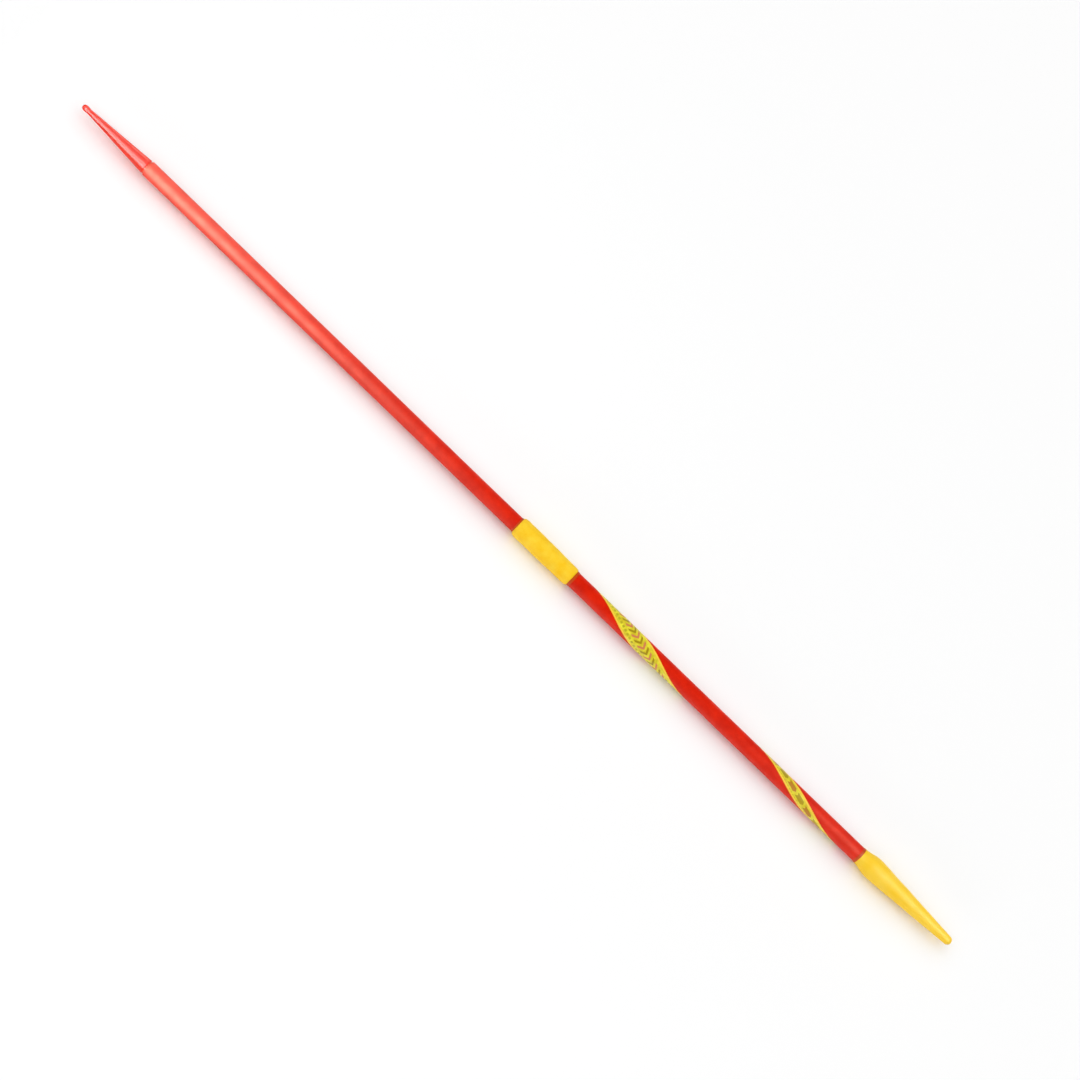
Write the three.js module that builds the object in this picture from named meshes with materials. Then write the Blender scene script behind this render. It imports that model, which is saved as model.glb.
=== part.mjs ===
// A training javelin with a soft rubber nose, lying on its side.
// +X runs along the shaft towards the nose and +Z is up. The origin is under the middle of the
// javelin, on the surface that the nose's widest ring rests on. All lengths are in millimetres.
import * as THREE from "three";

const OVERALL_LENGTH = 1750;

// Gap between pieces that fit together, across the axis and along it.
const CLEARANCE = 0.3;

// Every round piece has this many flat sides, with one of them level at the bottom.
const ROUND_SIDES = 48;

// Shaft: one drawn aluminium tube.
const SHAFT_DIAMETER = 25;
const SHAFT_WALL = 0.85;
const SHAFT_EDGE_BEVEL = 0.25;

// Tail: a hollow plastic cone with a bead at its end and a spigot that plugs the tube.
const TAIL_LENGTH = 131;
const TAIL_BASE_STEP = 0.7;
const TAIL_BEAD_DIAMETER = 9.4;
const TAIL_BEAD_LENGTH = 7.5;
const TAIL_NECK_DIAMETER = 8.4;
const TAIL_NECK_STATION = 14;
const TAIL_WALL = 2.6;
const TAIL_CORE_TIP_RADIUS = 2.4;
const TAIL_SPIGOT_LENGTH = 42;

// Steel counterweight in the tail's spigot. It brings the balance point to the middle of the grip.
const COUNTERWEIGHT_DIAMETER = 17;
const COUNTERWEIGHT_LENGTH = 8.5;
const COUNTERWEIGHT_LEDGE = 0.8;

// Grip: a rubber sleeve that is a little thicker at its tail end.
const GRIP_LENGTH = 111;
const GRIP_CENTRE_TO_NOSE_TIP = 818;
const GRIP_REAR_THICKNESS = 3.3;
const GRIP_FRONT_THICKNESS = 2.5;
const GRIP_END_THICKNESS = 0.9;
const GRIP_END_ROUNDING = 8;

// Nose: a rubber boot that is pulled over the tube's front end, with an air pocket inside.
const NOSE_LENGTH = 183.5;
const NOSE_OVERLAP = 38;
const NOSE_MOUTH_THICKNESS = 0.7;
const NOSE_BULGE_DIAMETER = 34.4;
const NOSE_BULGE_STATION = 28;
const NOSE_BULGE_LAND = 6;
const NOSE_TIP_RADIUS = 7.2;
const NOSE_TIP_SOLID = 34;
const NOSE_POCKET_TIP_RADIUS = 5;
const NOSE_LEDGE = 1.4;

// How full the boot's taper is: where its curve's two handles lie, as shares of its length and fall.
const TAPER_START_SHARE = 0.07;
const TAPER_END_SHARE = 0.53;
const TAPER_END_FALL_SHARE = 0.55;

// Wooden plug in the tube's front end. Its flange keeps the thin tube from cutting the boot.
const PLUG_SPIGOT_LENGTH = 45;
const PLUG_FLANGE_THICKNESS = 3;
const PLUG_BOSS_LENGTH = 14;
const PLUG_BOSS_DRAFT = 1.2;

const SPIGOT_BEVEL = 1;

// Labels: two printed films wound slantwise round the front half of the shaft.
const LABEL_THICKNESS = 0.25;
const LABEL_FACING_DEGREES = 120;
const LABEL_STEP_ALONG = 6;
const LABEL_STEP_ACROSS = 2.7;
const WIDE_LABEL_WIDTH = 32;
const WIDE_LABEL_LENGTH = 210;
const WIDE_LABEL_LEAD = 220;
const WIDE_LABEL_GAP_TO_GRIP = 29;
const NARROW_LABEL_WIDTH = 17;
const NARROW_LABEL_LENGTH = 190;
const NARROW_LABEL_LEAD = 245;
const NARROW_LABEL_GAP_TO_NOSE = 34;

// How many straight steps stand for a curve in an outline.
const ARC_STEPS = 6;
const TAPER_STEPS = 14;

// Radii and stations that the pieces share. Stations are places along X.
const shaftRadius = SHAFT_DIAMETER / 2;
const shaftBoreRadius = shaftRadius - SHAFT_WALL;
const spigotRadius = shaftBoreRadius - CLEARANCE;
const sleeveBoreRadius = shaftRadius + CLEARANCE;
const bulgeRadius = NOSE_BULGE_DIAMETER / 2;
const axisHeight = bulgeRadius * Math.cos(Math.PI / ROUND_SIDES);
const tailTip = -OVERALL_LENGTH / 2;
const noseTip = OVERALL_LENGTH / 2;
const tailSeam = tailTip + TAIL_LENGTH;
const noseMouth = noseTip - NOSE_LENGTH;
const shaftRear = tailSeam + CLEARANCE;
const shaftFront = noseMouth + NOSE_OVERLAP;
const gripRear = noseTip - GRIP_CENTRE_TO_NOSE_TIP - GRIP_LENGTH / 2;
const gripFront = gripRear + GRIP_LENGTH;

const paintedAluminium = new THREE.MeshStandardMaterial({ color: 0xd72a14, roughness: 0.42, metalness: 0 });
const glossyPlastic = new THREE.MeshStandardMaterial({ color: 0xe62a20, roughness: 0.18, metalness: 0 });
const yellowRubber = new THREE.MeshStandardMaterial({ color: 0xf9c928, roughness: 0.68, metalness: 0 });
const turnedBeech = new THREE.MeshStandardMaterial({ color: 0xd2a571, roughness: 0.65, metalness: 0 });
const bareSteel = new THREE.MeshStandardMaterial({ color: 0x9a9c9f, roughness: 0.4, metalness: 0.9 });
const printedFilm = new THREE.MeshStandardMaterial({ color: 0xe2d83e, roughness: 0.35, metalness: 0 });

// Outlines are lists of [x, radius] points. They run from the tail end to the nose end over the
// outside of a piece and back through its inside.

// A stretch from one point to another that is level at both ends.
function eased([x0, r0], [x1, r1], steps) {
  const points = [];
  for (let i = 0; i <= steps; i++) {
    const share = i / steps;
    const rise = (1 - Math.cos(Math.PI * share)) / 2;
    points.push([x0 + (x1 - x0) * share, r0 + (r1 - r0) * rise]);
  }
  return points;
}

// A quarter of an ellipse that leaves the first point straight outwards and arrives level.
function roundedUp([x0, r0], [x1, r1], steps) {
  const points = [];
  for (let i = 0; i <= steps; i++) {
    const angle = (Math.PI / 2) * (i / steps);
    points.push([x1 - (x1 - x0) * Math.cos(angle), r0 + (r1 - r0) * Math.sin(angle)]);
  }
  return points;
}

// The same quarter run the other way: level at the first point, straight inwards at the last.
function roundedDown(from, to, steps) {
  return roundedUp(to, from, steps).reverse();
}

// A solid of revolution about X. An outline that doesn't start and end on the axis is closed.
function turned(outline) {
  const points = outline.map(([x, r]) => new THREE.Vector2(r, x));
  const [first, last] = [points[0], points[points.length - 1]];
  if (first.x > 0 || last.x > 0) points.push(first.clone());
  const geometry = new THREE.LatheGeometry(points, ROUND_SIDES, Math.PI / ROUND_SIDES);
  return geometry.rotateZ(-Math.PI / 2);
}

function piece(name, geometry, material, station) {
  const mesh = new THREE.Mesh(geometry, material);
  mesh.name = name;
  mesh.position.x = station;
  return mesh;
}

function shaftTube() {
  const length = shaftFront - CLEARANCE - shaftRear;
  const outline = [
    [0, shaftBoreRadius],
    [0, shaftRadius - SHAFT_EDGE_BEVEL],
    [SHAFT_EDGE_BEVEL, shaftRadius],
    [length - SHAFT_EDGE_BEVEL, shaftRadius],
    [length, shaftRadius - SHAFT_EDGE_BEVEL],
    [length, shaftBoreRadius],
  ];
  return piece("shaft_tube", turned(outline), paintedAluminium, shaftRear);
}

function tailCone() {
  const beadRadius = TAIL_BEAD_DIAMETER / 2;
  const neckRadius = TAIL_NECK_DIAMETER / 2;
  const baseRadius = shaftRadius - TAIL_BASE_STEP;
  const spigotEnd = TAIL_LENGTH + TAIL_SPIGOT_LENGTH;
  const seatRadius = COUNTERWEIGHT_DIAMETER / 2 + CLEARANCE;
  const seatStation = spigotEnd - COUNTERWEIGHT_LENGTH - 2 * CLEARANCE;
  const hollowRadius = COUNTERWEIGHT_DIAMETER / 2 - COUNTERWEIGHT_LEDGE;
  const slope = (baseRadius - neckRadius) / (TAIL_LENGTH - TAIL_NECK_STATION);
  const hollowTip = TAIL_NECK_STATION + (TAIL_CORE_TIP_RADIUS + TAIL_WALL - neckRadius) / slope;
  const outline = [
    ...roundedUp([0, 0], [beadRadius, beadRadius], ARC_STEPS),
    ...eased([TAIL_BEAD_LENGTH, beadRadius], [TAIL_NECK_STATION, neckRadius], ARC_STEPS),
    [TAIL_LENGTH, baseRadius],
    [TAIL_LENGTH, spigotRadius],
    [spigotEnd - SPIGOT_BEVEL, spigotRadius],
    [spigotEnd, spigotRadius - SPIGOT_BEVEL],
    [spigotEnd, seatRadius],
    [seatStation, seatRadius],
    [seatStation, hollowRadius],
    [TAIL_LENGTH, hollowRadius],
    [hollowTip, TAIL_CORE_TIP_RADIUS],
    [hollowTip, 0],
  ];
  return piece("tail_cone", turned(outline), glossyPlastic, tailTip);
}

function tailCounterweight() {
  const radius = COUNTERWEIGHT_DIAMETER / 2;
  const outline = [
    [0, 0],
    [0, radius],
    [COUNTERWEIGHT_LENGTH, radius],
    [COUNTERWEIGHT_LENGTH, 0],
  ];
  const station = tailSeam + TAIL_SPIGOT_LENGTH - COUNTERWEIGHT_LENGTH - CLEARANCE;
  return piece("tail_counterweight", turned(outline), bareSteel, station);
}

function gripSleeve() {
  const rearRadius = sleeveBoreRadius + GRIP_REAR_THICKNESS;
  const frontRadius = sleeveBoreRadius + GRIP_FRONT_THICKNESS;
  const endRadius = sleeveBoreRadius + GRIP_END_THICKNESS;
  const outline = [
    [0, sleeveBoreRadius],
    ...roundedUp([0, endRadius], [GRIP_END_ROUNDING, rearRadius], ARC_STEPS),
    ...roundedDown([GRIP_LENGTH - GRIP_END_ROUNDING, frontRadius], [GRIP_LENGTH, endRadius], ARC_STEPS),
    [GRIP_LENGTH, sleeveBoreRadius],
  ];
  return piece("grip_sleeve", turned(outline), yellowRubber, gripRear);
}

// The boot's long taper, from its widest ring to the round tip.
function noseTaper(start, end) {
  const [length, fall] = [end.x - start.x, end.y - start.y];
  const curve = new THREE.CubicBezierCurve(
    start,
    new THREE.Vector2(start.x + TAPER_START_SHARE * length, start.y),
    new THREE.Vector2(start.x + TAPER_END_SHARE * length, start.y + TAPER_END_FALL_SHARE * fall),
    end,
  );
  return curve.getPoints(TAPER_STEPS).map((point) => [point.x, point.y]);
}

function noseBoot() {
  const mouthRadius = sleeveBoreRadius + NOSE_MOUTH_THICKNESS;
  const landRear = NOSE_BULGE_STATION - NOSE_BULGE_LAND / 2;
  const landFront = NOSE_BULGE_STATION + NOSE_BULGE_LAND / 2;
  const tipCentre = NOSE_LENGTH - NOSE_TIP_RADIUS;
  const ledge = NOSE_OVERLAP + PLUG_FLANGE_THICKNESS + CLEARANCE;
  const pocketTip = NOSE_LENGTH - NOSE_TIP_SOLID;
  const outline = [
    ...eased([0, mouthRadius], [landRear, bulgeRadius], ARC_STEPS),
    ...noseTaper(new THREE.Vector2(landFront, bulgeRadius), new THREE.Vector2(tipCentre, NOSE_TIP_RADIUS)),
    ...roundedDown([tipCentre, NOSE_TIP_RADIUS], [NOSE_LENGTH, 0], ARC_STEPS).slice(1),
    [pocketTip, 0],
    [pocketTip, NOSE_POCKET_TIP_RADIUS],
    [ledge, sleeveBoreRadius - NOSE_LEDGE],
    [ledge, sleeveBoreRadius],
    [0, sleeveBoreRadius],
    [0, mouthRadius],
  ];
  return piece("nose_boot", turned(outline), yellowRubber, noseMouth);
}

function nosePlug() {
  const bossRadius = sleeveBoreRadius - NOSE_LEDGE - CLEARANCE;
  const bossFront = PLUG_FLANGE_THICKNESS + PLUG_BOSS_LENGTH;
  const outline = [
    [-PLUG_SPIGOT_LENGTH, 0],
    [-PLUG_SPIGOT_LENGTH, spigotRadius - SPIGOT_BEVEL],
    [SPIGOT_BEVEL - PLUG_SPIGOT_LENGTH, spigotRadius],
    [0, spigotRadius],
    [0, shaftRadius],
    [PLUG_FLANGE_THICKNESS, shaftRadius],
    [PLUG_FLANGE_THICKNESS, bossRadius],
    [bossFront, bossRadius - PLUG_BOSS_DRAFT],
    [bossFront, 0],
  ];
  return piece("nose_plug", turned(outline), turnedBeech, shaftFront);
}

// The angle between a label's long edges and a ring round the shaft. The lead is how far the label
// would travel along the shaft in one whole turn.
function leadAngle(lead) {
  return Math.atan2(lead, 2 * Math.PI * sleeveBoreRadius);
}

// How far a slanting label reaches along the shaft to either side of its middle.
function labelHalfReach(width, length, lead) {
  const slant = leadAngle(lead);
  return (length * Math.sin(slant) + width * Math.cos(slant)) / 2;
}

// A flat strip bent round the shaft, with its middle at the station given.
function label(name, width, length, lead, station) {
  const slant = leadAngle(lead);
  const alongSteps = Math.ceil(length / LABEL_STEP_ALONG);
  const acrossSteps = Math.ceil(width / LABEL_STEP_ACROSS);
  const geometry = new THREE.BoxGeometry(length, width, LABEL_THICKNESS, alongSteps, acrossSteps, 1);
  const facing = THREE.MathUtils.degToRad(LABEL_FACING_DEGREES);
  const corners = geometry.getAttribute("position");
  for (let i = 0; i < corners.count; i++) {
    const [s, t, depth] = [corners.getX(i), corners.getY(i), corners.getZ(i)];
    const around = s * Math.cos(slant) - t * Math.sin(slant);
    const along = s * Math.sin(slant) + t * Math.cos(slant);
    const angle = facing + around / sleeveBoreRadius;
    const radius = sleeveBoreRadius + LABEL_THICKNESS / 2 + depth;
    corners.setXYZ(i, along, radius * Math.cos(angle), radius * Math.sin(angle));
  }
  geometry.computeVertexNormals();
  return piece(name, geometry, printedFilm, station);
}

function wideLabel() {
  const reach = labelHalfReach(WIDE_LABEL_WIDTH, WIDE_LABEL_LENGTH, WIDE_LABEL_LEAD);
  const station = gripFront + WIDE_LABEL_GAP_TO_GRIP + reach;
  return label("label_wide", WIDE_LABEL_WIDTH, WIDE_LABEL_LENGTH, WIDE_LABEL_LEAD, station);
}

function narrowLabel() {
  const reach = labelHalfReach(NARROW_LABEL_WIDTH, NARROW_LABEL_LENGTH, NARROW_LABEL_LEAD);
  const station = noseMouth - NARROW_LABEL_GAP_TO_NOSE - reach;
  return label("label_narrow", NARROW_LABEL_WIDTH, NARROW_LABEL_LENGTH, NARROW_LABEL_LEAD, station);
}

const javelin = new THREE.Group();
javelin.position.z = axisHeight;

const tailEnd = new THREE.Group();
tailEnd.add(tailCone(), tailCounterweight());

const noseEnd = new THREE.Group();
noseEnd.add(nosePlug(), noseBoot());

javelin.add(shaftTube(), tailEnd, gripSleeve(), wideLabel(), narrowLabel(), noseEnd);

export default javelin;
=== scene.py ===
# A training javelin with a soft rubber nose, lying on a pale studio floor.
# Lengths are in metres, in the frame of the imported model: +X towards the nose, +Z up.
import math

import bmesh
import bpy
from mathutils import Matrix, Vector


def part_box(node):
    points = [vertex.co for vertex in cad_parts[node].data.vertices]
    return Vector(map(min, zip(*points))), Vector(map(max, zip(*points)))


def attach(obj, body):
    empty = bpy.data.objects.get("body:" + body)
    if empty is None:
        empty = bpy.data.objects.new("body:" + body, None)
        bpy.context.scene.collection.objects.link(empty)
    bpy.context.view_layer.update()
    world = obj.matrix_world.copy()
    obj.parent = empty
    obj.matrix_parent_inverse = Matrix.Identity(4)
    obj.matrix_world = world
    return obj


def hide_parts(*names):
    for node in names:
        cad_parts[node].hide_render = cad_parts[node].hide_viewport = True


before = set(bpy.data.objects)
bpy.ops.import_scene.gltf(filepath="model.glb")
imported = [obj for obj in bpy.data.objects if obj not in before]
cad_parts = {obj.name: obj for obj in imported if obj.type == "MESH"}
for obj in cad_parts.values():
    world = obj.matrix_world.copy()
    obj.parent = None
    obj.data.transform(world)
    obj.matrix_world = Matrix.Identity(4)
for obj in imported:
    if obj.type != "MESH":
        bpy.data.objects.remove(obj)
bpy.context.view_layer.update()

MM = 0.001

# Outlines and rounds
SIDES_ROUND = 144
ARC_STEPS = 10
CURVE_STEPS = 40
STATION_STEP = 1.5 * MM
ON_AXIS = 0.001 * MM
CREASE_ANGLE = math.radians(35)

# Gap between pieces that fit together
CLEARANCE = 0.3 * MM

# Shaft
SHAFT_WALL = 0.85 * MM
SHAFT_END_ROUNDING = 0.6 * MM

# Tail cone. Its neck's station is measured from the tip.
TAIL_BASE_STEP = 0.7 * MM
TAIL_BASE_ROUNDING = 0.35 * MM
TAIL_GROOVE_WIDTH = 3 * MM
TAIL_GROOVE_DEPTH = 1.1 * MM
TAIL_BEAD_RADIUS = 4.7 * MM
TAIL_BEAD_LENGTH = 7.5 * MM
TAIL_NECK_RADIUS = 4.2 * MM
TAIL_NECK_STATION = 14 * MM

# Ridges where the moulds of the tail and of the nose boot part
TAIL_PARTING_HEIGHT = 0.08 * MM
NOSE_PARTING_HEIGHT = 0.16 * MM
PARTING_HALF_ANGLE = math.radians(2)

# Grip sleeve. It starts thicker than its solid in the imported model, because its surface then sinks
# unevenly, by up to the unevenness.
GRIP_REAR_THICKNESS = 3.8 * MM
GRIP_FRONT_THICKNESS = 3.1 * MM
GRIP_END_THICKNESS = 0.9 * MM
GRIP_END_LENGTH = 8 * MM
GRIP_UNEVENNESS = 0.9 * MM
GRIP_UNEVEN_SPACING = 21 * MM
GRIP_SEED = 4.0

# Nose boot. Its bulge's station is measured from the mouth. The shares shape the taper from the bulge to
# the tip: how far along it its two inner handles lie, and how far the second has fallen by then.
NOSE_MOUTH_THICKNESS = 0.7 * MM
NOSE_LIP_ROUNDING = 0.4 * MM
NOSE_BULGE_STATION = 28 * MM
NOSE_BULGE_LAND = 6 * MM
NOSE_TIP_RADIUS = 7.2 * MM
NOSE_UNEVENNESS = 0.45 * MM
NOSE_UNEVEN_SPACING = 26 * MM
NOSE_SEED = 9.0
TAPER_START_SHARE = 0.07
TAPER_END_SHARE = 0.53
TAPER_END_FALL_SHARE = 0.55

# Beads of adhesive squeezed out at the seams, dark in colour as painted shade along each seam, and how far
# that draws the rubber's ends in
RUBBER_SET_IN = 1 * MM
BEAD_HEIGHT = 0.6 * MM
BEAD_UNDER_EDGE = 0.2 * MM
BEAD_IN_SEAT = 0.1 * MM
TAIL_SEAM_BEAD_WIDTH = 1.5 * MM
GRIP_REAR_BEAD_WIDTH = 2.8 * MM
GRIP_FRONT_BEAD_WIDTH = 4.4 * MM
NOSE_MOUTH_BEAD_WIDTH = 4.2 * MM

# Labels. A film's lead is its advance in one turn round the shaft, and its facing is the angle of its
# middle round the shaft, from +Y towards +Z.
FILM_GAP = 0.03 * MM
FILM_THICKNESS = 0.12 * MM
FILM_CORNER = 3 * MM
FILM_MESH_STEP = 1 * MM
FILM_MERGE = 0.001 * MM
FILM_FACING = math.radians(120)
BORDER_INSET = 1.5 * MM
BORDER_WIDTH = 2 * MM
WIDE_FILM_WIDTH = 32 * MM
WIDE_FILM_LENGTH = 210 * MM
WIDE_FILM_LEAD = 220 * MM
NARROW_FILM_WIDTH = 17 * MM
NARROW_FILM_LENGTH = 190 * MM
NARROW_FILM_LEAD = 245 * MM

# Rows of print: pitch along the film, printed share of the pitch, height, and place across the film
WIDE_CHEVRONS = (9 * MM, 0.48, 14 * MM, -2 * MM)
WIDE_DASHES = (6.5 * MM, 0.55, 3.4 * MM, 9.5 * MM)
NARROW_CHEVRONS = (22 * MM, 0.74, 6.6 * MM, -0.4 * MM)
NARROW_DASHES = (5 * MM, 0.4, 0.8 * MM, 5.4 * MM)
CHEVRON_LEAN = 1.0
DASH_LEAN = 0.0

# Patterns of the finishes: how far apart, how long and how deep
DIE_LINE_SPACING = 1.4 * MM
DIE_LINE_LENGTH = 250 * MM
DIE_LINE_DEPTH = 0.02 * MM
PEEL_SPACING = 1.4 * MM
PEEL_DEPTH = 0.06 * MM
COAT_CLOUD = 24 * MM
FLOW_MARK_SPACING = 9 * MM
FLOW_MARK_DEPTH = 0.06 * MM
GRIP_PORE = 1.1 * MM
GRIP_CLOUD = 17 * MM
NOSE_PORE = 0.8 * MM
NOSE_CLOUD = 23 * MM
PORE_DEPTH = 0.12 * MM
RUBBER_GRAIN_DEPTH = 0.1 * MM
ADHESIVE_LUMP = 2.5 * MM
ADHESIVE_LUMP_DEPTH = 0.15 * MM
TOOL_MARK = 0.4 * MM
FILM_CLOUD = 8 * MM

# Patterns drawn out along the shaft, as scales in x, y and z
FLOW_MARK_SCALE = (0.3, 1, 1)
BEECH_GRAIN_SCALE = (12, 400, 400)

# A noise texture's values lie mostly between these.
NOISE_LOW, NOISE_HIGH = 0.3, 0.7

# A Mix node's colour sockets are numbers 6 and 7, and its colour output is number 2.
MIX_A, MIX_B, MIX_RESULT = 6, 7, 2


# Places along the shaft, and radii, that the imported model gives

def ends(node):
    """The lowest and the highest x of a node."""
    low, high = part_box(node)
    return low.x, high.x


shaft_low, shaft_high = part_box("shaft_tube")
nose_low, nose_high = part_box("nose_boot")
axis_height = (shaft_low.z + shaft_high.z) / 2
shaft_rear, shaft_front = ends("shaft_tube")
tail_tip, spigot_end = ends("tail_cone")
tail_seam = shaft_rear - CLEARANCE
sleeve_rear, sleeve_front = ends("grip_sleeve")
grip_rear, grip_front = sleeve_rear + RUBBER_SET_IN, sleeve_front - RUBBER_SET_IN
boot_mouth, nose_tip = ends("nose_boot")
nose_mouth = boot_mouth + RUBBER_SET_IN
shaft_radius = (shaft_high.y - shaft_low.y) / 2
bore_radius = shaft_radius - SHAFT_WALL
base_radius = shaft_radius - TAIL_BASE_STEP
groove_radius = base_radius - TAIL_GROOVE_DEPTH
sleeve_bore = shaft_radius + CLEARANCE
bulge_radius = (nose_high.z - nose_low.z) / 2


# Node trees

def add_node(tree, kind, inputs=None, **settings):
    """Adds a node. Settings are its properties. Inputs give a socket, by name or number, its value or
    the node or output socket that feeds it."""
    made = tree.nodes.new(kind)
    for name, value in settings.items():
        setattr(made, name, value)
    for key, value in (inputs or {}).items():
        if isinstance(value, bpy.types.Node):
            value = value.outputs[0]
        if isinstance(value, bpy.types.NodeSocket):
            tree.links.new(value, made.inputs[key])
        else:
            made.inputs[key].default_value = value
    return made


# Materials

def linear(hex_colour):
    """An sRGB hex colour as linear RGBA."""
    parts = [int(hex_colour[i:i + 2], 16) / 255 for i in (1, 3, 5)]
    return (*(p / 12.92 if p <= 0.04045 else ((p + 0.055) / 1.055) ** 2.4 for p in parts), 1)


def new_material(name):
    """A material with its empty node tree and its Object coordinates."""
    material = bpy.data.materials.new(name)
    material.use_nodes = True
    tree = material.node_tree
    tree.nodes.clear()
    place = add_node(tree, "ShaderNodeTexCoord").outputs["Object"]
    return material, tree, place


def surfaced(material, inputs):
    """The material, its tree ended by a surface shader with these inputs."""
    shader = add_node(material.node_tree, "ShaderNodeBsdfPrincipled", inputs)
    add_node(material.node_tree, "ShaderNodeOutputMaterial", {"Surface": shader})
    return material


def powder_coated_tube():
    """Drawn aluminium tube under a baked coat: a deep orange-red with a satin shine and a warm tinge in
    it, a little cloudy in colour and shine, with faint lines of the drawing die along it and an
    orange-peel skin. Die lines are about 0.2 mm apart and are drawn seven times as coarse, so that they
    show."""
    material, tree, place = new_material("powder_coated_tube")
    drawn = add_node(tree, "ShaderNodeMapping", {
        "Vector": place, "Scale": (1 / DIE_LINE_LENGTH, 1 / DIE_LINE_SPACING, 1 / DIE_LINE_SPACING)})
    die_lines = add_node(tree, "ShaderNodeTexNoise", {"Vector": drawn, "Scale": 1.0, "Detail": 3.0})
    peel = add_node(tree, "ShaderNodeTexNoise", {"Vector": place, "Scale": 1 / PEEL_SPACING, "Detail": 2.0})
    clouds = add_node(tree, "ShaderNodeTexNoise", {"Vector": place, "Scale": 1 / COAT_CLOUD, "Detail": 6.0,
                                                   "Roughness": 0.72})
    cover = add_node(tree, "ShaderNodeMapRange", {"Value": clouds, "From Min": NOISE_LOW,
                                                  "From Max": NOISE_HIGH})
    tint = add_node(tree, "ShaderNodeMix", {0: cover, MIX_A: linear("#CD1703"), MIX_B: linear("#E92506")},
                    data_type="RGBA")
    sheen = add_node(tree, "ShaderNodeMapRange", {"Value": cover, "To Min": 0.69, "To Max": 0.52})
    lines = add_node(tree, "ShaderNodeBump", {"Height": die_lines, "Distance": DIE_LINE_DEPTH,
                                              "Strength": 0.4})
    skin = add_node(tree, "ShaderNodeBump", {"Height": peel, "Distance": PEEL_DEPTH, "Strength": 0.42,
                                             "Normal": lines})
    return surfaced(material, {
        "Base Color": tint.outputs[MIX_RESULT], "Roughness": sheen, "Normal": skin, "IOR": 1.5,
        "Specular IOR Level": 0.55, "Specular Tint": linear("#FFF2D6")})


def moulded_polystyrene():
    """Injection-moulded styrene plastic: a clear bright red with a high shine and slow flow marks."""
    material, tree, place = new_material("moulded_polystyrene")
    flow = add_node(tree, "ShaderNodeMapping", {"Vector": place, "Scale": FLOW_MARK_SCALE})
    waves = add_node(tree, "ShaderNodeTexNoise", {"Vector": flow, "Scale": 1 / FLOW_MARK_SPACING,
                                                  "Detail": 2.0})
    tint = add_node(tree, "ShaderNodeMix", {0: waves, MIX_A: linear("#E8321E"), MIX_B: linear("#F13B25")},
                    data_type="RGBA")
    skin = add_node(tree, "ShaderNodeBump", {"Height": waves, "Distance": FLOW_MARK_DEPTH,
                                             "Strength": 0.4})
    return surfaced(material, {
        "Base Color": tint.outputs[MIX_RESULT], "Roughness": 0.18, "Normal": skin, "IOR": 1.5,
        "Specular IOR Level": 0.19})


def yellow_rubber(name, tints, roughness, shine, pore, cloud):
    """Soft rubber from a mould, as a boot or a sleeve: a warm yellow, matt to satin, slightly mottled
    between two tints, with pores in a third. Pore and cloud are how far apart its pores and its paler
    patches lie. Real pores are about 0.3 mm apart and are drawn about three times as coarse, so that
    they show."""
    material, tree, place = new_material(name)
    patches = add_node(tree, "ShaderNodeTexNoise", {"Vector": place, "Scale": 1 / cloud, "Detail": 4.0,
                                                    "Roughness": 0.55})
    spread = add_node(tree, "ShaderNodeMapRange", {"Value": patches, "From Min": NOISE_LOW,
                                                   "From Max": NOISE_HIGH})
    tint = add_node(tree, "ShaderNodeMix", {0: spread, MIX_A: linear(tints[0]), MIX_B: linear(tints[1])},
                    data_type="RGBA")
    pores = add_node(tree, "ShaderNodeTexVoronoi", {"Vector": place, "Scale": 1 / pore})
    in_pore = add_node(tree, "ShaderNodeMapRange", {"Value": pores, "From Max": 0.4, "To Min": 0.45,
                                                    "To Max": 0.0})
    pored = add_node(tree, "ShaderNodeMix", {0: in_pore, MIX_A: tint.outputs[MIX_RESULT],
                                             MIX_B: linear(tints[2])}, data_type="RGBA")
    grain = add_node(tree, "ShaderNodeTexNoise", {"Vector": place, "Scale": 2 / pore, "Detail": 3.0})
    pitted = add_node(tree, "ShaderNodeBump", {"Height": pores, "Distance": PORE_DEPTH, "Strength": 0.6})
    skin = add_node(tree, "ShaderNodeBump", {"Height": grain, "Distance": RUBBER_GRAIN_DEPTH,
                                             "Strength": 0.6, "Normal": pitted})
    return surfaced(material, {
        "Base Color": pored.outputs[MIX_RESULT], "Roughness": roughness, "Normal": skin, "IOR": 1.52,
        "Specular IOR Level": shine})


def dried_adhesive_as_painted_shade():
    """Contact adhesive that has set in the open: an amber brown bead with a dull, lumpy skin. Its dark
    colour is painted shade, standing for the shade that falls along the seams where the beads lie.
    """
    material, tree, place = new_material("dried_adhesive_as_painted_shade")
    lumps = add_node(tree, "ShaderNodeTexNoise", {"Vector": place, "Scale": 1 / ADHESIVE_LUMP,
                                                  "Detail": 3.0})
    # Two dark tints: painted shade along the seams, carried by the beads of adhesive.
    tint = add_node(tree, "ShaderNodeMix", {0: lumps, MIX_A: linear("#BA380B"), MIX_B: linear("#D35513")},
                    data_type="RGBA")
    skin = add_node(tree, "ShaderNodeBump", {"Height": lumps, "Distance": ADHESIVE_LUMP_DEPTH,
                                             "Strength": 0.6})
    return surfaced(material, {"Base Color": tint.outputs[MIX_RESULT], "Roughness": 0.55, "Normal": skin})


def turned_beech():
    """Beech turned on a lathe: pale pinkish brown with straight grain along the shaft and short flecks."""
    material, tree, place = new_material("turned_beech")
    along = add_node(tree, "ShaderNodeMapping", {"Vector": place, "Scale": BEECH_GRAIN_SCALE})
    grain = add_node(tree, "ShaderNodeTexNoise", {"Vector": along, "Scale": 1.0, "Detail": 5.0})
    tint = add_node(tree, "ShaderNodeMix", {0: grain, MIX_A: linear("#C08E5C"), MIX_B: linear("#DDB584")},
                    data_type="RGBA")
    return surfaced(material, {"Base Color": tint.outputs[MIX_RESULT], "Roughness": 0.6})


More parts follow.
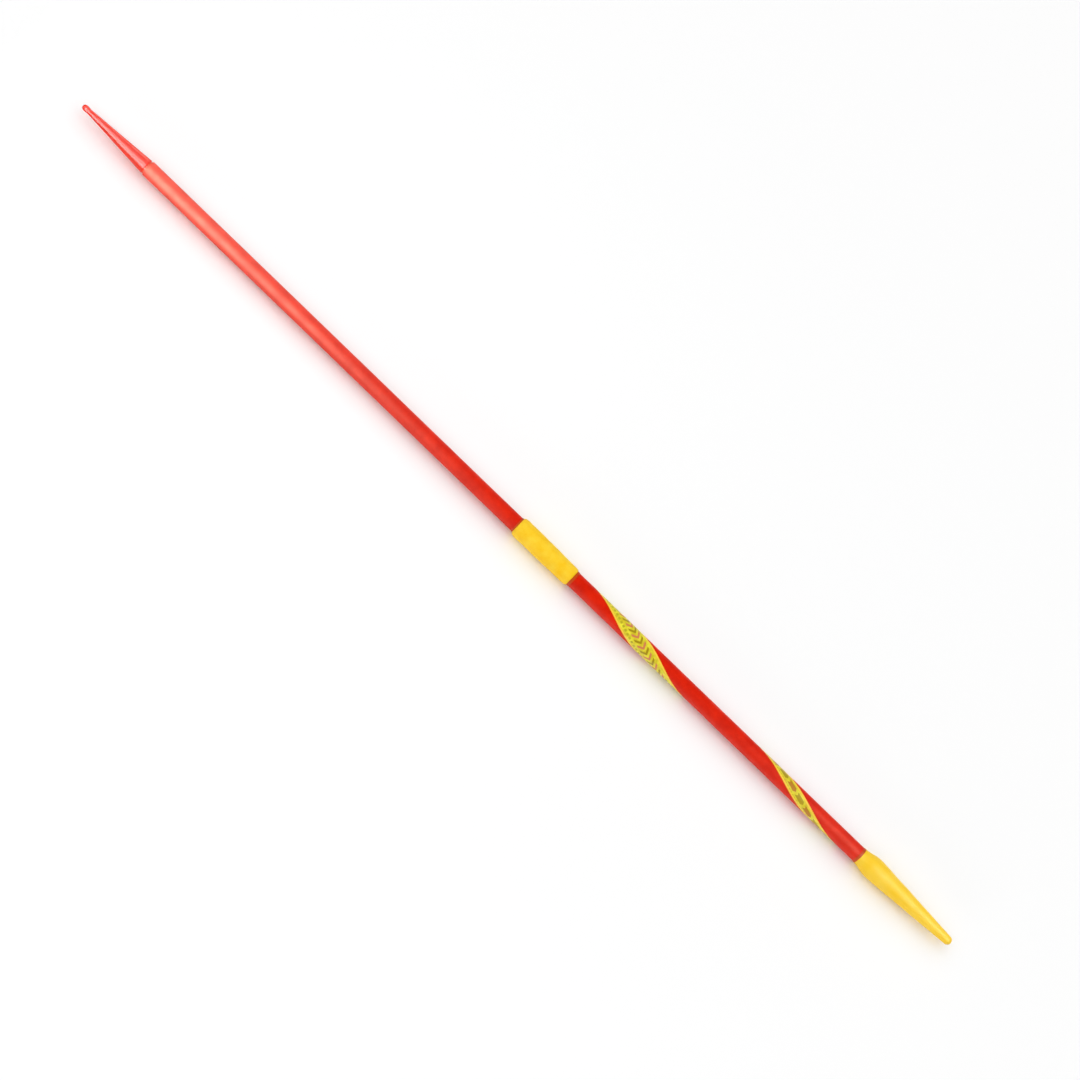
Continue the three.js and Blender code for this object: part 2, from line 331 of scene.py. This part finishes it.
def turned_steel():
    """Mild steel faced on a lathe: mid grey metal with fine tool marks."""
    material, tree, place = new_material("turned_steel")
    marks = add_node(tree, "ShaderNodeTexNoise", {"Vector": place, "Scale": 1 / TOOL_MARK, "Detail": 2.0})
    worn = add_node(tree, "ShaderNodeMapRange", {"Value": marks, "To Min": 0.3, "To Max": 0.5})
    return surfaced(material, {"Base Color": linear("#9C9EA1"), "Metallic": 1.0, "Roughness": worn})


def printed_film(name, width, chevrons, dashes, chevron_tints):
    """Gloss-laminated polyester label film, screen printed: a yellow-green ground, an orange-yellow line
    inside each long edge, a row of chevrons in two colours and a row of fine dashes beside it."""
    material, tree, place = new_material(name)
    film = add_node(tree, "ShaderNodeAttribute", attribute_name="film")
    on_film = add_node(tree, "ShaderNodeSeparateXYZ", {0: film.outputs["Vector"]})
    s, t = on_film.outputs["X"], on_film.outputs["Y"]

    def row(pitch, share, height, middle, lean):
        """Where a row of marks is printed, and its count of pitches along the film. A lean of 1 makes
        chevrons of the marks."""
        off = add_node(tree, "ShaderNodeMath", {0: t, 1: middle}, operation="SUBTRACT")
        away = add_node(tree, "ShaderNodeMath", {0: off}, operation="ABSOLUTE")
        leant = add_node(tree, "ShaderNodeMath", {0: away, 1: lean, 2: s}, operation="MULTIPLY_ADD")
        count = add_node(tree, "ShaderNodeMath", {0: leant, 1: pitch}, operation="DIVIDE")
        phase = add_node(tree, "ShaderNodeMath", {0: count}, operation="FRACT")
        in_mark = add_node(tree, "ShaderNodeMath", {0: phase, 1: share}, operation="LESS_THAN")
        in_row = add_node(tree, "ShaderNodeMath", {0: away, 1: height / 2}, operation="LESS_THAN")
        return add_node(tree, "ShaderNodeMath", {0: in_mark, 1: in_row}, operation="MULTIPLY"), count

    off_middle = add_node(tree, "ShaderNodeMath", {0: t}, operation="ABSOLUTE")
    from_line = add_node(tree, "ShaderNodeMath", {0: off_middle, 1: width / 2 - BORDER_INSET},
                         operation="SUBTRACT")
    line_gap = add_node(tree, "ShaderNodeMath", {0: from_line}, operation="ABSOLUTE")
    on_line = add_node(tree, "ShaderNodeMath", {0: line_gap, 1: BORDER_WIDTH / 2}, operation="LESS_THAN")
    on_dash, _ = row(*dashes, DASH_LEAN)
    on_chevron, count = row(*chevrons, CHEVRON_LEAN)
    pair = add_node(tree, "ShaderNodeMath", {0: count, 1: 2.0}, operation="DIVIDE")
    along_pair = add_node(tree, "ShaderNodeMath", {0: pair}, operation="FRACT")
    second_of_pair = add_node(tree, "ShaderNodeMath", {0: along_pair, 1: 0.5}, operation="GREATER_THAN")
    chevron_tint = add_node(tree, "ShaderNodeMix", {
        0: second_of_pair, MIX_A: linear(chevron_tints[0]), MIX_B: linear(chevron_tints[1])},
        data_type="RGBA")
    clouds = add_node(tree, "ShaderNodeTexNoise", {"Vector": place, "Scale": 1 / FILM_CLOUD, "Detail": 3.0})
    faded = add_node(tree, "ShaderNodeMapRange", {"Value": clouds, "From Min": NOISE_LOW,
                                                  "From Max": NOISE_HIGH})
    ground = add_node(tree, "ShaderNodeMix", {0: faded, MIX_A: linear("#D1BA27"),
                                              MIX_B: linear("#F2EA3E")}, data_type="RGBA")
    # Each ink covers those before it.
    print_colour = ground.outputs[MIX_RESULT]
    for where, ink in ((on_line, linear("#FFCF48")), (on_dash, linear("#BFAF24")),
                       (on_chevron, chevron_tint.outputs[MIX_RESULT])):
        layer = add_node(tree, "ShaderNodeMix", {0: where, MIX_A: print_colour, MIX_B: ink},
                         data_type="RGBA")
        print_colour = layer.outputs[MIX_RESULT]
    return surfaced(material, {"Base Color": print_colour, "Roughness": 0.35})


def studio_white():
    """Matt white studio paper, lit evenly."""
    material, tree, _ = new_material("studio_white")
    return surfaced(material, {"Base Color": linear("#FCFCFC"), "Roughness": 1.0, "Specular IOR Level": 0.0})


# Meshes

def finished(name, mesh, material=None):
    """An object for a finished mesh, shaded smooth except at its creases."""
    if material:
        mesh.materials.append(material)
    mesh.shade_smooth()
    mesh.set_sharp_from_angle(angle=CREASE_ANGLE)
    piece = bpy.data.objects.new(name, mesh)
    bpy.context.scene.collection.objects.link(piece)
    return piece


def eased(start, end):
    """A stretch of outline that is level at both ends."""
    (x0, r0), (x1, r1) = start, end
    shares = [i / ARC_STEPS for i in range(ARC_STEPS + 1)]
    return [(x0 + (x1 - x0) * share, r0 + (r1 - r0) * (1 - math.cos(math.pi * share)) / 2)
            for share in shares]


def rounded_up(start, end):
    """A quarter ellipse that leaves its start straight outwards and arrives level."""
    (x0, r0), (x1, r1) = start, end
    angles = [math.pi / 2 * i / ARC_STEPS for i in range(ARC_STEPS + 1)]
    return [(x1 - (x1 - x0) * math.cos(a), r0 + (r1 - r0) * math.sin(a)) for a in angles]


def rounded_down(start, end):
    """The same quarter run the other way."""
    return rounded_up(end, start)[::-1]


def corner(before, at, after, rounding):
    """A rounded corner, whose arc starts and ends at the given distance from it."""
    at = Vector(at)
    start = at + (Vector(before) - at).normalized() * rounding
    end = at + (Vector(after) - at).normalized() * rounding
    shares = [i / ARC_STEPS for i in range(ARC_STEPS + 1)]
    return [tuple(start.lerp(at, share).lerp(at.lerp(end, share), share)) for share in shares]


def divided(outline):
    """The outline with its long stretches cut into short ones."""
    points = []
    for here, there in zip(outline, outline[1:]):
        here, there = Vector(here), Vector(there)
        parts = max(1, math.ceil((there - here).length / STATION_STEP))
        points += [tuple(here.lerp(there, i / parts)) for i in range(parts)]
    return points + [outline[-1]]


def turned(name, outline, material=None, parting=0.0):
    """A solid of revolution about the shaft's axis. Its outline is a list of (x, radius) that starts and
    ends on the axis or is closed. Parting is the height of a ridge along either side."""
    bm = bmesh.new()
    angles = [2 * math.pi * i / SIDES_ROUND for i in range(SIDES_ROUND)]
    ridges = [parting * max(0, 1 - abs(math.remainder(angle, math.pi)) / PARTING_HALF_ANGLE)
              for angle in angles]
    rings = []
    for x, r in outline:
        if r < ON_AXIS:
            rings.append([bm.verts.new((x, 0, axis_height))])
            continue
        rings.append([bm.verts.new((x, (r + ridge) * math.cos(angle),
                                    axis_height + (r + ridge) * math.sin(angle)))
                      for angle, ridge in zip(angles, ridges)])
    # A ring of one vertex is a pole, where the faces are triangles.
    closing = [] if len(rings[0]) == 1 else [(rings[-1], rings[0])]
    for one, two in [*zip(rings, rings[1:]), *closing]:
        for i in range(SIDES_ROUND):
            corners = [one[i % len(one)], one[(i + 1) % SIDES_ROUND % len(one)],
                       two[(i + 1) % SIDES_ROUND % len(two)], two[i % len(two)]]
            bm.faces.new(dict.fromkeys(corners))
    bmesh.ops.recalc_face_normals(bm, faces=bm.faces)
    mesh = bpy.data.meshes.new(name)
    bm.to_mesh(mesh)
    bm.free()
    return finished(name, mesh, material)


# Geometry trees

def geometry_tree(name, sizes):
    """A geometry tree with a geometry input, a float input for each size, a material input and a
    geometry output."""
    tree = bpy.data.node_groups.new(name, "GeometryNodeTree")
    tree.interface.new_socket("Geometry", in_out="INPUT", socket_type="NodeSocketGeometry")
    for size in sizes:
        tree.interface.new_socket(size, in_out="INPUT", socket_type="NodeSocketFloat")
    tree.interface.new_socket("Material", in_out="INPUT", socket_type="NodeSocketMaterial")
    tree.interface.new_socket("Geometry", in_out="OUTPUT", socket_type="NodeSocketGeometry")
    return tree, add_node(tree, "NodeGroupInput").outputs


def close_tree(tree, geometry, material):
    """Ends a geometry tree: real meshes with their material."""
    real = add_node(tree, "GeometryNodeRealizeInstances", {0: geometry})
    painted = add_node(tree, "GeometryNodeSetMaterial", {"Geometry": real, "Material": material})
    add_node(tree, "NodeGroupOutput", {0: painted})


def grown(name, tree, start, **values):
    """Runs a geometry tree on a mesh and keeps what it makes as a plain mesh."""
    maker = bpy.data.objects.new(name + "_maker", start)
    bpy.context.scene.collection.objects.link(maker)
    modifier = maker.modifiers.new("made", "NODES")
    modifier.node_group = tree
    for socket in tree.interface.items_tree:
        if socket.in_out == "INPUT" and socket.name in values:
            modifier[socket.identifier] = values[socket.name]
    evaluated = maker.evaluated_get(bpy.context.evaluated_depsgraph_get())
    mesh = bpy.data.meshes.new_from_object(evaluated)
    bpy.data.objects.remove(maker)
    return finished(name, mesh)


def uneven_tree():
    """A tree that lets a moulded surface sink unevenly, by up to an amount. Only what lies further than
    Inside from the axis moves."""
    tree, given = geometry_tree("uneven_moulding", ("Amount", "Spacing", "Seed", "Inside", "Height"))
    place = add_node(tree, "GeometryNodeInputPosition")
    parts = add_node(tree, "ShaderNodeSeparateXYZ", {0: place})
    up = add_node(tree, "ShaderNodeMath", {0: parts.outputs["Z"], 1: given["Height"]}, operation="SUBTRACT")
    out = add_node(tree, "ShaderNodeCombineXYZ", {"Y": parts.outputs["Y"], "Z": up})
    radius = add_node(tree, "ShaderNodeVectorMath", {0: out}, operation="LENGTH")
    moves = add_node(tree, "ShaderNodeMath", {0: radius.outputs["Value"], 1: given["Inside"]},
                     operation="GREATER_THAN")
    scale = add_node(tree, "ShaderNodeMath", {0: 1.0, 1: given["Spacing"]}, operation="DIVIDE")
    noise = add_node(tree, "ShaderNodeTexNoise", {"Vector": place, "W": given["Seed"], "Scale": scale,
                                                  "Detail": 1.0}, noise_dimensions="4D")
    deepest = add_node(tree, "ShaderNodeMath", {0: given["Amount"], 1: -1.0}, operation="MULTIPLY")
    sink = add_node(tree, "ShaderNodeMapRange", {"Value": noise, "From Min": 0.25, "From Max": 0.75,
                                                 "To Min": deepest, "To Max": 0.0})
    normal = add_node(tree, "GeometryNodeInputNormal")
    offset = add_node(tree, "ShaderNodeVectorMath", {0: normal, "Scale": sink}, operation="SCALE")
    moved = add_node(tree, "GeometryNodeSetPosition", {"Geometry": given["Geometry"], "Selection": moves,
                                                       "Offset": offset})
    close_tree(tree, moved, given["Material"])
    return tree


def film_tree():
    """A tree that makes a flat film with round corners and winds it slantwise round the shaft. It keeps
    each point's place on the flat film in the attribute film: along it in X and across it in Y."""
    tree, given = geometry_tree("wound_film", ("Length", "Width", "Thickness", "Corner", "Step", "Merge",
                                               "Lead", "Radius", "Facing", "Station", "Height"))
    columns = add_node(tree, "ShaderNodeMath", {0: given["Length"], 1: given["Step"]}, operation="DIVIDE")
    rows = add_node(tree, "ShaderNodeMath", {0: given["Width"], 1: given["Step"]}, operation="DIVIDE")
    sheet = add_node(tree, "GeometryNodeMeshGrid", {"Size X": given["Length"], "Size Y": given["Width"],
                                                    "Vertices X": columns, "Vertices Y": rows})
    flat = add_node(tree, "ShaderNodeSeparateXYZ", {0: add_node(tree, "GeometryNodeInputPosition")})
    # The corners are rounded by drawing in the ends' rows.
    half_length = add_node(tree, "ShaderNodeMath", {0: given["Length"], 1: 0.5}, operation="MULTIPLY")
    corner_start = add_node(tree, "ShaderNodeMath", {0: half_length, 1: given["Corner"]},
                            operation="SUBTRACT")
    reach = add_node(tree, "ShaderNodeMath", {0: flat.outputs["X"]}, operation="ABSOLUTE")
    past = add_node(tree, "ShaderNodeMath", {0: reach, 1: corner_start}, operation="SUBTRACT")
    into = add_node(tree, "ShaderNodeMath", {0: past, 1: 0.0}, operation="MAXIMUM")
    into_square = add_node(tree, "ShaderNodeMath", {0: into, 1: 2.0}, operation="POWER")
    corner_square = add_node(tree, "ShaderNodeMath", {0: given["Corner"], 1: 2.0}, operation="POWER")
    rest_square = add_node(tree, "ShaderNodeMath", {0: corner_square, 1: into_square}, operation="SUBTRACT")
    left = add_node(tree, "ShaderNodeMath", {0: rest_square}, operation="SQRT")
    drawn_in = add_node(tree, "ShaderNodeMath", {0: given["Corner"], 1: left}, operation="SUBTRACT")
    half_width = add_node(tree, "ShaderNodeMath", {0: given["Width"], 1: 0.5}, operation="MULTIPLY")
    lost = add_node(tree, "ShaderNodeMath", {0: drawn_in, 1: half_width}, operation="DIVIDE")
    kept = add_node(tree, "ShaderNodeMath", {0: 1.0, 1: lost}, operation="SUBTRACT")
    across = add_node(tree, "ShaderNodeMath", {0: flat.outputs["Y"], 1: kept}, operation="MULTIPLY")
    shaped = add_node(tree, "ShaderNodeCombineXYZ", {"X": flat.outputs["X"], "Y": across})
    cut = add_node(tree, "GeometryNodeSetPosition", {"Geometry": sheet.outputs["Mesh"], "Position": shaped})
    marked = add_node(tree, "GeometryNodeStoreNamedAttribute",
                      {"Geometry": cut, "Name": "film", "Value": add_node(tree, "GeometryNodeInputPosition")},
                      data_type="FLOAT_VECTOR", domain="POINT")
    top = add_node(tree, "GeometryNodeExtrudeMesh", {"Mesh": marked, "Offset Scale": given["Thickness"],
                                                     "Individual": False})
    under = add_node(tree, "GeometryNodeFlipFaces", {0: marked})
    both = add_node(tree, "GeometryNodeJoinGeometry", {0: top.outputs["Mesh"]})
    tree.links.new(under.outputs[0], both.inputs[0])
    solid = add_node(tree, "GeometryNodeMergeByDistance", {"Geometry": both, "Distance": given["Merge"]})
    # The flat film is turned by its slant and bent round the shaft.
    around_once = add_node(tree, "ShaderNodeMath", {0: given["Radius"], 1: 2 * math.pi},
                           operation="MULTIPLY")
    slant = add_node(tree, "ShaderNodeMath", {0: around_once, 1: given["Lead"]}, operation="ARCTAN2")
    slanted = add_node(tree, "ShaderNodeVectorRotate",
                       {"Vector": add_node(tree, "GeometryNodeInputPosition"), "Angle": slant},
                       rotation_type="Z_AXIS")
    place = add_node(tree, "ShaderNodeSeparateXYZ", {0: slanted})
    turn = add_node(tree, "ShaderNodeMath", {0: place.outputs["Y"], 1: given["Radius"]}, operation="DIVIDE")
    angle = add_node(tree, "ShaderNodeMath", {0: given["Facing"], 1: turn}, operation="ADD")
    radius = add_node(tree, "ShaderNodeMath", {0: given["Radius"], 1: place.outputs["Z"]}, operation="ADD")
    cosine = add_node(tree, "ShaderNodeMath", {0: angle}, operation="COSINE")
    sine = add_node(tree, "ShaderNodeMath", {0: angle}, operation="SINE")
    y = add_node(tree, "ShaderNodeMath", {0: radius, 1: cosine}, operation="MULTIPLY")
    z = add_node(tree, "ShaderNodeMath", {0: radius, 1: sine, 2: given["Height"]},
                 operation="MULTIPLY_ADD")
    x = add_node(tree, "ShaderNodeMath", {0: place.outputs["X"], 1: given["Station"]}, operation="ADD")
    bent = add_node(tree, "ShaderNodeCombineXYZ", {"X": x, "Y": y, "Z": z})
    wound = add_node(tree, "GeometryNodeSetPosition", {"Geometry": solid, "Position": bent})
    # The bend mirrors the film, so its faces are turned outward again.
    outward = add_node(tree, "GeometryNodeFlipFaces", {0: wound})
    close_tree(tree, outward, given["Material"])
    return tree


# Pieces

def shaft():
    """The tube: coated outside, its ends rolled in a little."""
    rear_in, rear_out = (shaft_rear, bore_radius), (shaft_rear, shaft_radius)
    front_out, front_in = (shaft_front, shaft_radius), (shaft_front, bore_radius)
    outline = [
        rear_in,
        *corner(rear_in, rear_out, front_out, SHAFT_END_ROUNDING),
        *corner(rear_out, front_out, front_in, SHAFT_END_ROUNDING),
        front_in,
    ]
    return turned("shaft", outline, powder_coated_tube())


def tail():
    """The cone with its bead, a groove in front of the tube's end, and the spigot that plugs the tube.
    Two fine ridges show where its mould parts."""
    neck = (tail_tip + TAIL_NECK_STATION, TAIL_NECK_RADIUS)
    base = (tail_seam - TAIL_GROOVE_WIDTH, base_radius)
    groove_rear = (base[0] + TAIL_GROOVE_DEPTH / 2, groove_radius)
    groove_front = (tail_seam, groove_radius)
    outline = [
        *rounded_up((tail_tip, 0), (tail_tip + TAIL_BEAD_RADIUS, TAIL_BEAD_RADIUS)),
        *eased((tail_tip + TAIL_BEAD_LENGTH, TAIL_BEAD_RADIUS), neck),
        *corner(neck, base, groove_rear, TAIL_BASE_ROUNDING),
        *corner(base, groove_rear, groove_front, TAIL_BASE_ROUNDING),
        groove_front,
        (tail_seam, bore_radius - CLEARANCE),
        (spigot_end, bore_radius - CLEARANCE),
        (spigot_end, 0),
    ]
    return turned("tail", outline, moulded_polystyrene(), TAIL_PARTING_HEIGHT)


def grip(tree):
    """The rubber sleeve, thicker at the tail end, with drawn-in ends and a slightly uneven surface."""
    rear_radius = sleeve_bore + GRIP_REAR_THICKNESS
    front_radius = sleeve_bore + GRIP_FRONT_THICKNESS
    end_radius = sleeve_bore + GRIP_END_THICKNESS
    outline = divided([
        (grip_rear, sleeve_bore),
        *rounded_up((grip_rear, end_radius), (grip_rear + GRIP_END_LENGTH, rear_radius)),
        *rounded_down((grip_front - GRIP_END_LENGTH, front_radius), (grip_front, end_radius)),
        (grip_front, sleeve_bore),
    ])
    even = turned("grip_even", outline)
    rubber = yellow_rubber("foamed_rubber", ("#FCC510", "#FFD93E", "#F0A716"), roughness=0.65, shine=0.29,
                           pore=GRIP_PORE, cloud=GRIP_CLOUD)
    piece = grown("grip", tree, even.data, Amount=GRIP_UNEVENNESS, Spacing=GRIP_UNEVEN_SPACING,
                  Seed=GRIP_SEED, Inside=end_radius + GRIP_END_THICKNESS / 2, Height=axis_height,
                  Material=rubber)
    bpy.data.objects.remove(even)
    return piece


def nose(tree):
    """The rubber boot: a lip, the widest ring, and a long full taper to the round tip. Inside it holds
    the tube and, in front of that, a pocket of air."""
    mouth = (nose_mouth, sleeve_bore + NOSE_MOUTH_THICKNESS)
    land_rear = boot_mouth + NOSE_BULGE_STATION - NOSE_BULGE_LAND / 2
    land_front = boot_mouth + NOSE_BULGE_STATION + NOSE_BULGE_LAND / 2
    tip_centre = nose_tip - NOSE_TIP_RADIUS
    pocket_end = nose_tip - 2 * NOSE_TIP_RADIUS
    length, fall = tip_centre - land_front, NOSE_TIP_RADIUS - bulge_radius
    handles = [
        Vector((land_front, bulge_radius)),
        Vector((land_front + TAPER_START_SHARE * length, bulge_radius)),
        Vector((land_front + TAPER_END_SHARE * length, bulge_radius + TAPER_END_FALL_SHARE * fall)),
        Vector((tip_centre, NOSE_TIP_RADIUS)),
    ]
    # The taper is the cubic curve that these handles give.
    taper = []
    for i in range(CURVE_STEPS + 1):
        share = i / CURVE_STEPS
        points = handles
        while len(points) > 1:
            points = [a.lerp(b, share) for a, b in zip(points, points[1:])]
        taper.append(tuple(points[0]))
    outside = divided([
        *corner((nose_mouth, sleeve_bore), mouth, (land_rear, mouth[1]), NOSE_LIP_ROUNDING),
        *eased((nose_mouth + 2 * NOSE_LIP_ROUNDING, mouth[1]), (land_rear, bulge_radius)),
        *taper,
        *rounded_down((tip_centre, NOSE_TIP_RADIUS), (nose_tip, 0))[1:],
    ])
    inside = [(pocket_end, 0), (pocket_end, NOSE_TIP_RADIUS / 2), (shaft_front, sleeve_bore),
              (nose_mouth, sleeve_bore)]
    even = turned("nose_even", inside + outside, parting=NOSE_PARTING_HEIGHT)
    rubber = yellow_rubber("moulded_rubber", ("#FECF24", "#FFD743", "#F9AE20"), roughness=0.5, shine=0.3,
                           pore=NOSE_PORE, cloud=NOSE_CLOUD)
    piece = grown("nose", tree, even.data, Amount=NOSE_UNEVENNESS, Spacing=NOSE_UNEVEN_SPACING,
                  Seed=NOSE_SEED, Inside=0.0, Height=axis_height, Material=rubber)
    bpy.data.objects.remove(even)
    return piece


def adhesive_bead_as_painted_shade(name, seam, width, seat):
    """The thin bead of adhesive along a seam, on a seat of a radius. Its dark colour is painted shade along
    the seam. Its width is negative where it lies towards the tail."""
    start, end = seam - math.copysign(BEAD_UNDER_EDGE, width), seam + width
    foot, top = seat - BEAD_IN_SEAT, seat + BEAD_HEIGHT
    middle = (start + end) / 2
    outline = [*rounded_up((start, foot), (middle, top)), *rounded_down((middle, top), (end, foot))[1:]]
    return turned(name, outline, adhesive_as_painted_shade)


def film(name, node, tree, length, width, lead, material):
    """A printed film wound round the shaft where its CAD node lies."""
    rear, front = ends(node)
    start = bpy.data.meshes.new(name + "_start")
    return grown(name, tree, start, Length=length, Width=width, Thickness=FILM_THICKNESS,
                 Corner=FILM_CORNER, Step=FILM_MESH_STEP, Merge=FILM_MERGE, Lead=lead,
                 Radius=shaft_radius + FILM_GAP, Facing=FILM_FACING, Station=(rear + front) / 2,
                 Height=axis_height, Material=material)


uneven = uneven_tree()
# The beads' material: adhesive whose dark colour is painted shade along the seams.
adhesive_as_painted_shade = dried_adhesive_as_painted_shade()
wound = film_tree()
wide_print = printed_film("printed_film_wide", WIDE_FILM_WIDTH, WIDE_CHEVRONS, WIDE_DASHES,
                          ("#A88D15", "#D58151"))
narrow_print = printed_film("printed_film_narrow", NARROW_FILM_WIDTH, NARROW_CHEVRONS, NARROW_DASHES,
                            ("#B3981C", "#BA7D1E"))
stands_for = [
    (shaft(), "shaft_tube", "painted_aluminium"),
    (tail(), "tail_cone", "red_plastic"),
    (grip(uneven), "grip_sleeve", "yellow_rubber"),
    (nose(uneven), "nose_boot", "yellow_rubber"),
    (film("film_wide", "label_wide", wound, WIDE_FILM_LENGTH, WIDE_FILM_WIDTH, WIDE_FILM_LEAD,
          wide_print), "label_wide", "printed_film"),
    (film("film_narrow", "label_narrow", wound, NARROW_FILM_LENGTH, NARROW_FILM_WIDTH, NARROW_FILM_LEAD,
          narrow_print), "label_narrow", "printed_film"),
]
for piece, node, slot in stands_for:
    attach(piece, "root")
    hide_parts(node)
# Beads of adhesive at four seams; their dark colour is painted shade along each seam.
for name, seam, width, seat, slot in (
        ("adhesive_and_shade_tail", tail_seam, -TAIL_SEAM_BEAD_WIDTH, groove_radius, "red_plastic"),
        ("adhesive_and_shade_grip_rear", grip_rear, -GRIP_REAR_BEAD_WIDTH, shaft_radius, "yellow_rubber"),
        ("adhesive_and_shade_grip_front", grip_front, GRIP_FRONT_BEAD_WIDTH, shaft_radius, "yellow_rubber"),
        ("adhesive_and_shade_nose", nose_mouth, -NOSE_MOUTH_BEAD_WIDTH, shaft_radius, "yellow_rubber")):
    piece = adhesive_bead_as_painted_shade(name, seam, width, seat)
    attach(piece, "root")

for node, material in (("nose_plug", turned_beech()), ("tail_counterweight", turned_steel())):
    for material_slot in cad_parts[node].material_slots:
        material_slot.material = material

# Studio floor
FLOOR_HALF = 40.0
floor_mesh = bpy.data.meshes.new("floor")
floor_mesh.from_pydata([(-FLOOR_HALF, -FLOOR_HALF, 0), (FLOOR_HALF, -FLOOR_HALF, 0),
                        (FLOOR_HALF, FLOOR_HALF, 0), (-FLOOR_HALF, FLOOR_HALF, 0)], [], [(0, 1, 2, 3)])
finished("floor", floor_mesh, studio_white())

# The camera looks square at the shaft, from above and a little to the -Y side, and is rolled so that
# the nose points down to the right.
VIEW_LEAN = math.radians(30)
ROLL = math.radians(44)
LENS = 100.0
SENSOR = 36.0
VIEW_WIDTH = 1567 * MM
VIEW_OFFSET_RIGHT = 33.6 * MM
VIEW_OFFSET_DOWN = 22.6 * MM

towards = Vector((0, -math.sin(VIEW_LEAN), math.cos(VIEW_LEAN)))
across = Vector((0, math.cos(VIEW_LEAN), math.sin(VIEW_LEAN)))
right = Vector((math.cos(ROLL), 0, 0)) + math.sin(ROLL) * across
up = Vector((-math.sin(ROLL), 0, 0)) + math.cos(ROLL) * across
centre = Vector((0, 0, axis_height)) + VIEW_OFFSET_RIGHT * right - VIEW_OFFSET_DOWN * up
camera_data = bpy.data.cameras.new("camera")
camera_data.lens, camera_data.sensor_width = LENS, SENSOR
camera = bpy.data.objects.new("camera", camera_data)
turn = Matrix((right, up, towards)).transposed().to_4x4()
camera.matrix_world = Matrix.Translation(centre + towards * VIEW_WIDTH * LENS / SENSOR) @ turn
bpy.context.scene.collection.objects.link(camera)
bpy.context.scene.camera = camera

# Light. The panels over the tail are given by elevation in degrees, width and brightness, and the
# fills by name, place, length, width and power in watts.
CEILING_PLACE = (0, 0.2, 3)
CEILING_STRENGTH = 2.87
CEILING_ANGLE = math.radians(130)
PANEL_DISTANCE = 0.95
PANEL_GRID = math.radians(80)
TAIL_PANEL_X = -1.1
TAIL_PANEL_LENGTH = 1.1
TAIL_PANELS = ((24, 0.68, 6.7), (62, 0.68, 5.2), (104, 0.68, 1.1), (152, 0.5, 1.7))
NOSE_PANEL_X = 1.5
NOSE_PANEL_ELEVATION = 80
NOSE_PANEL_LENGTH = 1.2
NOSE_PANEL_WIDTH = 1.6
NOSE_PANEL_BRIGHTNESS = 3.75
FILL_SPREAD = math.radians(100)
FILLS = (("tail_fill", (-0.5, -0.5, 0.62), 0.6, 0.4, 0.14),
         ("low_fill", (-0.3, -4.0, 0.75), 3.0, 1.0, 10.0))
WORLD_STRENGTH = 0.08


def lamp(name, kind, place, aim, **settings):
    """A lamp at a place, shining at another."""
    data = bpy.data.lights.new(name, kind)
    for key, value in settings.items():
        setattr(data, key, value)
    made = bpy.data.objects.new(name, data)
    made.location = place
    made.rotation_euler = (Vector(aim) - Vector(place)).to_track_quat("-Z", "Y").to_euler()
    made.visible_camera = False
    bpy.context.scene.collection.objects.link(made)
    return made


def keep_out_of_shine(made):
    """Lets a lamp light surfaces without showing in their shine. Without multiple importance sampling
    that exclusion is complete."""
    made.visible_glossy = False
    made.data.cycles.use_multiple_importance_sampling = False


def panel(name, x, elevation, length, width, brightness):
    """A soft panel with a grid, facing the shaft at x from an elevation in degrees above the -Y side. It
    is meant for the shine alone. Its multiple importance sampling is kept, for a steady highlight at few
    samples too, and lets a little of its light reach matt surfaces."""
    angle = math.radians(elevation)
    out = Vector((0, -math.cos(angle), math.sin(angle))) * PANEL_DISTANCE
    aim = Vector((x, 0, axis_height))
    made = lamp(name, "AREA", aim + out, aim, shape="RECTANGLE", size=length, size_y=width,
                energy=brightness * math.pi * length * width, spread=PANEL_GRID)
    made.visible_diffuse = False


keep_out_of_shine(lamp("ceiling", "SUN", CEILING_PLACE, (0, 0, 0), energy=CEILING_STRENGTH,
                       angle=CEILING_ANGLE))
for elevation, width, brightness in TAIL_PANELS:
    panel(f"tail_panel_{elevation}", TAIL_PANEL_X, elevation, TAIL_PANEL_LENGTH, width, brightness)
panel("nose_panel", NOSE_PANEL_X, NOSE_PANEL_ELEVATION, NOSE_PANEL_LENGTH, NOSE_PANEL_WIDTH,
      NOSE_PANEL_BRIGHTNESS)
for name, place, length, width, power in FILLS:
    keep_out_of_shine(lamp(name, "AREA", place, (place[0], 0, axis_height), shape="RECTANGLE",
                           size=length, size_y=width, energy=power, spread=FILL_SPREAD))

world = bpy.data.worlds.new("studio")
world.use_nodes = True
background = world.node_tree.nodes["Background"]
background.inputs["Color"].default_value = linear("#FFFFFF")
background.inputs["Strength"].default_value = WORLD_STRENGTH
bpy.context.scene.world = world
bpy.context.scene.view_settings.view_transform = "Standard"
